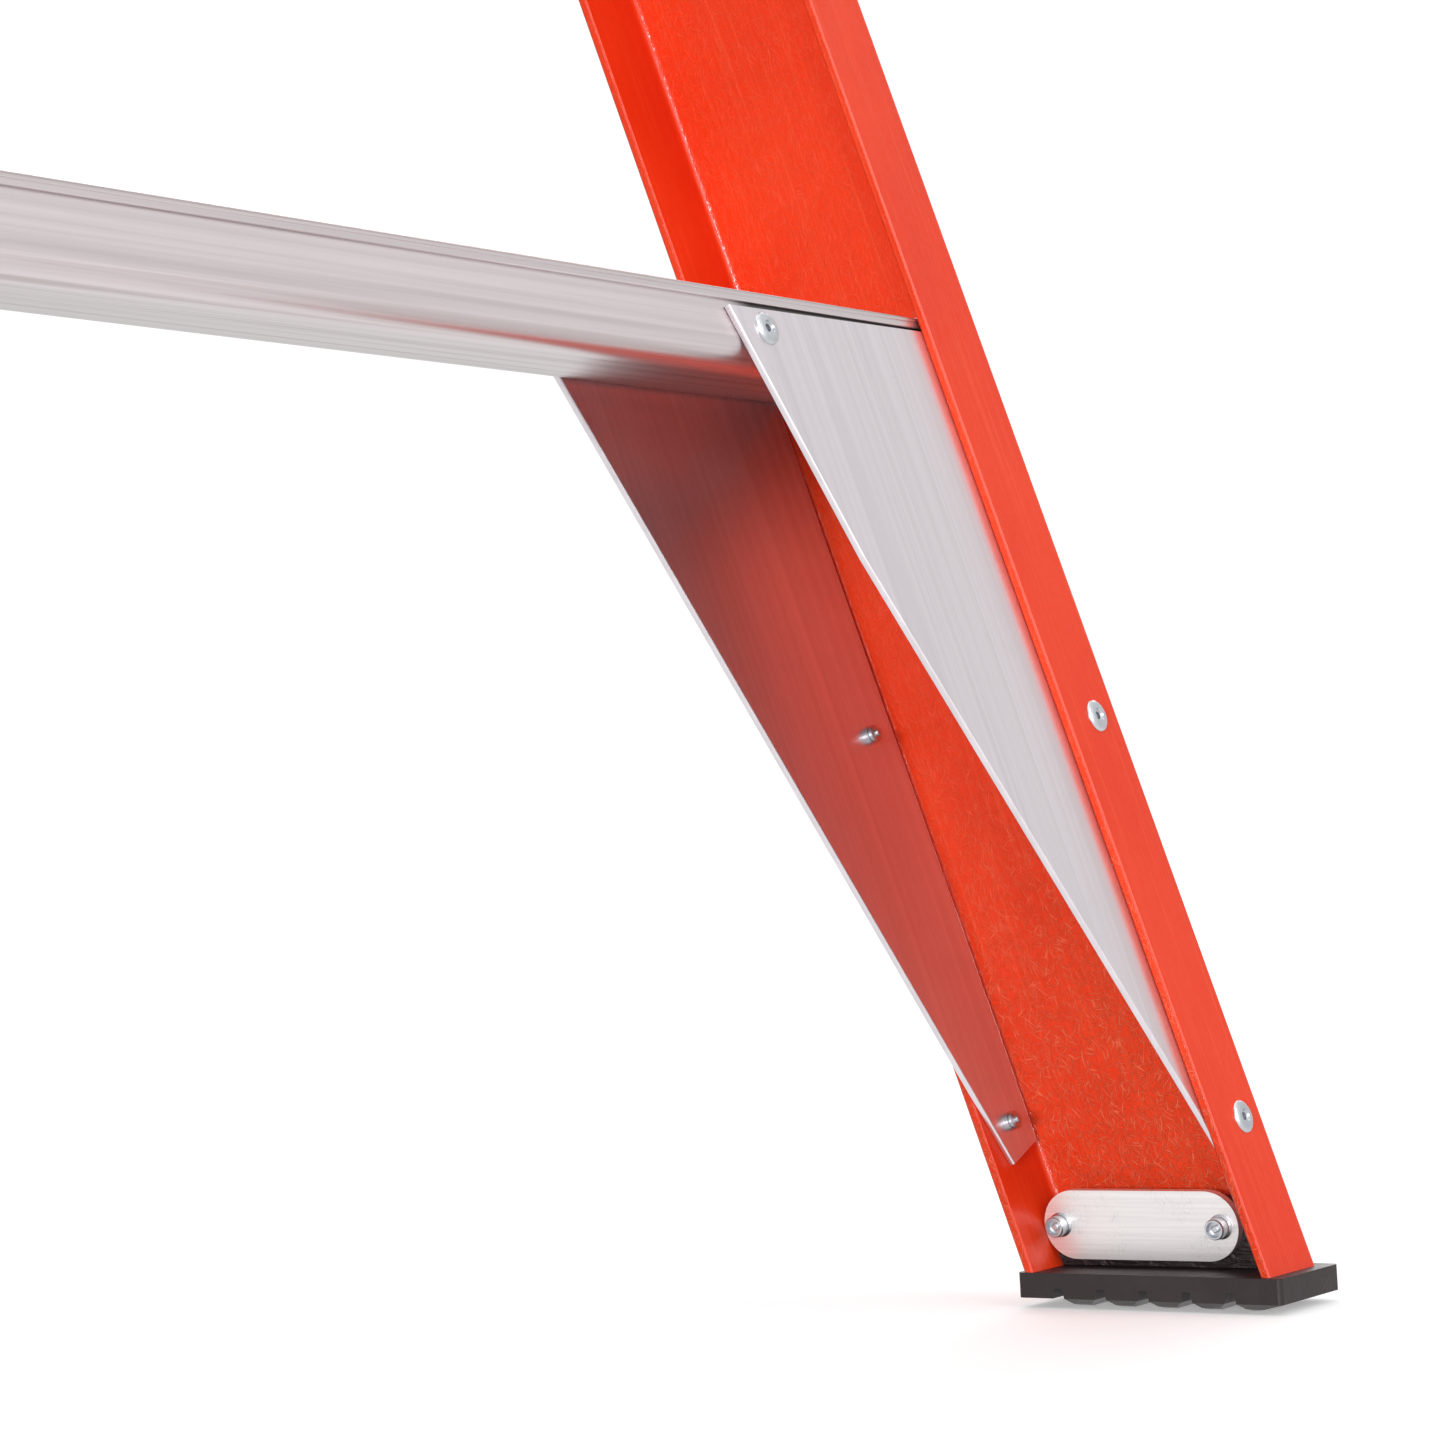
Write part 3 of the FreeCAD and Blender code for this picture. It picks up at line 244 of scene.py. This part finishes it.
def rounded_corners(g):
    """One on the rails' rounded corners, between the web's and the flanges' flat faces."""
    folded = g.vector("ABSOLUTE", g.object_normal())
    off_web = g.ramp(g.dot(folded, unsigned(RAIL_OUT)), 0.96, 0.90)
    off_flange = g.ramp(g.dot(folded, unsigned(RAIL_BACK)), 0.96, 0.90)
    return g.times(off_web, off_flange)


# ---- materials --------------------------------------------------------------------------------

def strands(g, along, angle, seed):
    """Short, thin, slightly bent fibres that run at an angle across the web."""
    back, up = g.part(along, 1), g.part(along, 2)
    c, s = math.cos(math.radians(angle)), math.sin(math.radians(angle))
    length = g.plus(g.times(back, c), g.times(up, s))
    across = g.minus(g.times(up, c), g.times(back, s))
    bend = g.times(g.noise(along, 120.0, detail=1.0), 0.0045)
    across = g.plus(across, bend)
    place = g.combine(g.times(length, FIBRE_LENGTHWISE), g.times(across, FIBRE_CROSSWISE), seed)
    return g.ramp(g.noise(place, 1.0, detail=0.0), 0.64, 0.76)


def fibreglass(name, leaning):
    """Glossy pultruded fibreglass: short pale veil fibres on the web, lightened further as painted
    glints, and lengthwise streaks.

    The base's leaning rails also have a clear, sharper gloss on their rounded corners.
    """
    g = Graph(name)
    position = g.object_coordinates()
    along = rail_coordinates(g, position) if leaning else position
    web = g.ramp(g.unsigned(g.part(g.object_normal(), 0)), 0.75, 0.95)
    low_down = g.ramp(g.part(position, 2), *FIBRES_SHOW, start=1.0, end=0.28)
    streak = g.noise(g.scaled(along, (1100.0, 1100.0, 16.0)), 1.0, roughness=0.6)
    bands = g.noise(g.scaled(along, (170.0, 170.0, 5.0)), 1.0, detail=2.0)
    leather = g.noise(position, 420.0, roughness=0.55, distortion=0.6)
    clouds = g.noise(position, 22.0)

    fibres = None
    for angle, seed in FIBRE_SETS:
        laid = strands(g, along, angle, seed)
        fibres = g.most(fibres, laid) if fibres else laid
    shown = g.times(g.times(fibres, web), low_down)

    tone = g.mix(g.ramp(clouds, 0.3, 0.7), FIBREGLASS_DEEP, FIBREGLASS)
    tone = g.mix(g.times(g.ramp(streak, 0.50, 0.72), 0.30), tone, FIBREGLASS_PALE)
    tone = g.mix(g.times(g.ramp(bands, 0.5, 0.8), 0.20), tone, FIBREGLASS_DEEP)
    # pale fibres, lightened as painted glints, strongest low down on the web
    tone = g.mix(g.times(shown, 0.42), tone, FIBRE_STRAND_GLINT)
    rough = g.plus(0.30, g.times(g.ramp(leather, 0.35, 0.7), 0.12))
    relief = g.plus(g.times(shown, 0.6), g.times(leather, 0.7))
    web_bump = g.bump(g.times(relief, web), 0.0005, strength=0.8)
    normal = g.bump(streak, 0.00005, strength=0.5, normal=web_bump)

    g.set(Base_Color=tone, Roughness=rough, Normal=normal, Metallic=0.0, IOR=1.45,
          Specular_IOR_Level=0.25)
    if leaning:
        g.set(Coat_Weight=g.times(rounded_corners(g), 0.8), Coat_Roughness=0.12,
              Coat_Normal=normal)
    return g.material


def wandering_lines(g, position, scale, seed):
    moved = g.vector("ADD", position, (seed, seed * 0.7, seed * 1.3))
    field = g.noise(moved, scale, detail=1.5, roughness=0.45, distortion=1.8)
    away = g.unsigned(g.minus(field, 0.5))
    return g.minus(1.0, g.ramp(away, 0.0, SCRATCH_WIDTH))


def handling_scratches(g, position):
    """Two sets of thin wandering lines, in patches."""
    marks = g.most(wandering_lines(g, position, 150.0, 2.2),
                   wandering_lines(g, position, 240.0, 5.9))
    return g.times(marks, g.ramp(g.noise(position, 90.0, detail=2.0), 0.50, 0.62))


def flat_face_normal(g):
    """The shading normal, but the facet's own normal on the rungs' flat front face."""
    smooth = g.add("ShaderNodeNewGeometry", {}, "Normal")
    facet = g.add("ShaderNodeNewGeometry", {}, "True Normal")
    towards_face = g.dot(g.vector("ABSOLUTE", facet), unsigned(RAIL_BACK))
    return g.mix(g.ramp(towards_face, 0.9996, 0.9999), smooth, facet)


def rung_marks(g, position, tone):
    """Die lines along the underside, partly a painted reflection there, a painted shadow in the gap
    under the lip beside the gussets, and a thin line below each tread's edge."""
    folded = g.vector("ABSOLUTE", position)
    across, height = g.part(folded, 0), g.part(folded, 2)

    # die lines shown darker on the downward faces only: partly real, partly a painted reflection
    under = g.ramp(g.dot(g.object_normal(), (0.0, 0.0, -1.0)), 0.05, 0.6)
    die = g.noise(g.scaled(position, (3.0, 330.0, 330.0)), 1.0, roughness=0.6)
    tone = g.mix(g.times(g.ramp(die, 0.46, 0.66), g.times(under, 0.55)), tone, DIE_LINE_AND_REFLECTION)

    under_lip = FIRST_TREAD - LIP_HEIGHT
    # a painted shadow in the gap between the lip's underside and the gusset's top edge
    gap_shadow = g.band(height, under_lip - 0.0016, under_lip - 0.0010,
                    under_lip - 0.0001, under_lip + 0.0002)
    gap_shadow = g.times(gap_shadow, g.ramp(across, GUSSET_TIP - 0.001, GUSSET_TIP + 0.014))
    tone = g.mix(g.times(gap_shadow, 0.92), tone, GAP_SHADOW)

    past_tread = g.math("FLOORED_MODULO", g.minus(height, FIRST_TREAD), RUNG_PITCH)
    edge = g.band(past_tread, RUNG_PITCH - 0.0008, RUNG_PITCH - 0.0005,
                  RUNG_PITCH - 0.0002, RUNG_PITCH - 0.00005)
    return g.mix(g.times(edge, 0.40), tone, EDGE_LINE)


def drawn_metal(name, colour, stretch, roughness, spread=0.10, haze=0.0, scratches=0.0,
                leaning=False, is_rung=False):
    """Metal with fine drawn lines and a cloudy gloss.

    stretch is how finely the lines change along each axis, spread is how far the roughness
    wanders, haze takes some of the metal's mirror away, and scratches is how strongly they show.
    """
    g = Graph(name)
    position = g.object_coordinates()
    along = rail_coordinates(g, position) if leaning else position
    lines = g.noise(g.scaled(along, stretch), 1.0, detail=4.0, roughness=0.65)
    broad = g.noise(g.scaled(along, tuple(v * 0.12 for v in stretch)), 1.0, roughness=0.6)
    clouds = g.noise(position, 30.0, detail=4.0, roughness=0.6)

    low, high = shade(colour, 0.90), shade(colour, 1.06)
    tone = g.mix(g.ramp(lines, 0.25, 0.75), low, high)
    tone = g.mix(g.times(g.ramp(broad, 0.5, 0.8), 0.35), tone, low)
    if is_rung:
        tone = rung_marks(g, position, tone)
    if scratches:
        tone = g.mix(g.times(handling_scratches(g, position), scratches), tone, grey(0.42))

    rough = g.plus(roughness, g.times(g.minus(broad, 0.5), spread * 2))
    rough = g.plus(rough, g.times(g.minus(clouds, 0.5), spread))
    rough = g.most(rough, SHARPEST_METAL)
    height = g.plus(lines, g.times(broad, 0.8))
    normal = g.bump(height, DRAWN_LINE_DEPTH, strength=0.6,
                    normal=flat_face_normal(g) if is_rung else None)
    g.set(Base_Color=tone, Roughness=rough, Metallic=1.0 - haze, Normal=normal)
    return g.material


def cast_metal(name, colour):
    """Grainy and cloudy, like sand-cast metal."""
    g = Graph(name)
    position = g.object_coordinates()
    grain = g.noise(position, 700.0, detail=4.0, roughness=0.65)
    clouds = g.noise(position, 30.0, roughness=0.6)
    g.set(Base_Color=g.mix(clouds, colour, shade(colour, 0.8)), Metallic=1.0,
          Roughness=g.ramp(grain, 0.3, 0.7, start=0.42, end=0.58),
          Normal=g.bump(grain, 0.0002, strength=0.5))
    return g.material


def rubber(name):
    """Moulded black rubber: satin, with a wrinkled skin above the sole and dust in patches."""
    g = Graph(name)
    position = g.object_coordinates()
    above = g.ramp(g.part(position, 2), *BOOT_SKIN)
    skin = g.noise(position, 900.0, roughness=0.6)
    folds = g.noise(g.scaled(position, (150.0, 150.0, 420.0)), 1.0, distortion=1.2)
    dust = g.noise(position, 60.0, detail=4.0, roughness=0.65)
    relief = g.plus(g.times(skin, 0.10), g.times(folds, above))
    g.set(Base_Color=g.mix(g.times(g.ramp(dust, 0.45, 0.8), 0.5), RUBBER, RUBBER_DUST),
          Roughness=g.ramp(dust, 0.3, 0.75, start=0.40, end=0.58),
          Normal=g.bump(relief, 0.0018, strength=0.7), IOR=1.5, Specular_IOR_Level=0.40)
    return g.material


def plastic(name):
    """Moulded black plastic with a faint skin."""
    g = Graph(name)
    position = g.object_coordinates()
    skin = g.noise(position, 900.0, roughness=0.6)
    haze = g.noise(position, 40.0, roughness=0.6)
    g.set(Base_Color=g.mix(haze, PLASTIC, PLASTIC_HAZE),
          Roughness=g.ramp(haze, 0.3, 0.7, start=0.40, end=0.52),
          Normal=g.bump(skin, 0.0001, strength=0.5))
    return g.material


def floor_material():
    """Pale, and faintly lit from within, so that it runs on into the white room."""
    g = Graph("pale_floor")
    haze = g.noise(g.object_coordinates(), 3.0, detail=2.0)
    g.set(Base_Color=g.mix(haze, grey(0.90), grey(0.88)), Roughness=0.9, Specular_IOR_Level=0.0,
          Emission_Color=WHITE, Emission_Strength=FLOOR_GLOW)
    return g.material


MATERIALS = {
    "base_fibreglass": fibreglass("fibreglass_base", leaning=True),
    "extension_fibreglass": fibreglass("fibreglass_extension", leaning=False),
    "rung_aluminium": drawn_metal(
        "rung_extrusion", (0.735, 0.668, 0.675, 1.0), stretch=(4.0, 500.0, 500.0),
        roughness=0.30, spread=0.06, haze=0.12, is_rung=True),
    "round_rung_aluminium": drawn_metal(
        "round_rung_extrusion", grey(0.78), stretch=(5.0, 700.0, 700.0), roughness=0.24),
    "bracket_aluminium": drawn_metal(
        "bracket_sheet", grey(0.76), stretch=(500.0, 500.0, 60.0), roughness=0.30),
    "gusset_aluminium": drawn_metal(
        "gusset_sheet", (0.765, 0.715, 0.745, 1.0), stretch=(300.0, 300.0, 3.0),
        roughness=0.30, spread=0.07, haze=0.12, scratches=0.12, leaning=True),
    "plate_aluminium": drawn_metal(
        "plate_sheet", (0.880, 0.850, 0.840, 1.0), stretch=(300.0, 16.0, 1500.0),
        roughness=0.38, spread=0.05, haze=0.30, scratches=0.45),
    "rivet_aluminium": drawn_metal(
        "rivet_metal", (0.60, 0.62, 0.65, 1.0), stretch=(300.0, 300.0, 300.0),
        roughness=0.32),
    "cast_aluminium": cast_metal("cast_aluminium_skin", grey(0.55)),
    "zinc_steel": drawn_metal(
        "zinc_plate", grey(0.60, warm=0.01), stretch=(60.0, 300.0, 300.0), roughness=0.36),
    "lock_steel": drawn_metal(
        "lock_plate", grey(0.55, warm=0.01), stretch=(300.0, 90.0, 300.0), roughness=0.38),
    "boot_rubber": rubber("boot_rubber_skin"),
    "cap_plastic": plastic("cap_plastic_skin"),
}


def dress_nodes():
    slots = {s["node"]: s["material_slot"] for s in frame["record"]["subparts"]}
    for name, obj in NODES.items():
        material = MATERIALS[slots[name]]
        if not obj.data.materials:
            obj.data.materials.append(material)
        for index in range(len(obj.data.materials)):
            obj.data.materials[index] = material


# ---- stage ------------------------------------------------------------------------------------

def make_floor():
    mesh = bpy.data.meshes.new("floor")
    corners = [(x * FLOOR_HALF, y * FLOOR_HALF, 0) for x, y in ((-1, -1), (1, -1), (1, 1), (-1, 1))]
    mesh.from_pydata(corners, [], [(0, 1, 2, 3)])
    floor = bpy.data.objects.new("floor", mesh)
    floor.location.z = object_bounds()[0][2] - FLOOR_GAP
    mesh.materials.append(floor_material())
    floor.visible_glossy = floor.visible_diffuse = False
    SCENE.collection.objects.link(floor)


def make_world():
    """A pale room that the camera sees as pure white.

    Shiny surfaces see it brighter overhead and below; it lights matt surfaces more softly.
    """
    world = bpy.data.worlds.new("studio")
    world.use_nodes = True
    g = Nodes(world.node_tree)
    upward = g.part(g.add("ShaderNodeTexCoord", {}, "Generated"), 2)
    room = g.plus(g.slope(upward, *OVERHEAD), g.slope(upward, *UNDERFOOT))
    strength = g.choose("Is Diffuse Ray", room, MATT_ROOM_LIGHT)
    strength = g.choose("Is Camera Ray", strength, BACKDROP)
    background = g.add("ShaderNodeBackground", {"Color": WHITE, "Strength": strength})
    output = g.tree.nodes.new("ShaderNodeOutputWorld")
    g.feed(output.inputs["Surface"], background)
    SCENE.world = world


def make_suns():
    for name, place, spread, strength in SUNS:
        light = bpy.data.lights.new(name, "SUN")
        light.angle = math.radians(spread)
        light.energy = strength
        sun = bpy.data.objects.new(name, light)
        SCENE.collection.objects.link(sun)
        sun.location = place
        sun.rotation_euler = (-Vector(place)).to_track_quat("-Z", "Y").to_euler()


def make_camera():
    """Low, close to the front right foot, looking along the lowest step into the channel."""
    data = bpy.data.cameras.new("camera")
    data.sensor_width = SENSOR_WIDTH
    data.sensor_fit = "HORIZONTAL"
    data.lens = LENS
    data.clip_start, data.clip_end = NEAREST, FARTHEST
    camera = bpy.data.objects.new("camera", data)
    turn = Euler([math.radians(angle) for angle in CAMERA_TURN]).to_matrix().to_4x4()
    camera.matrix_world = Matrix.Translation(CAMERA_PLACE) @ turn
    SCENE.collection.objects.link(camera)
    SCENE.camera = camera


dress_nodes()
make_floor()
make_world()
make_suns()
make_camera()
SCENE.view_settings.view_transform = "Standard"
SCENE.view_settings.look = "None"
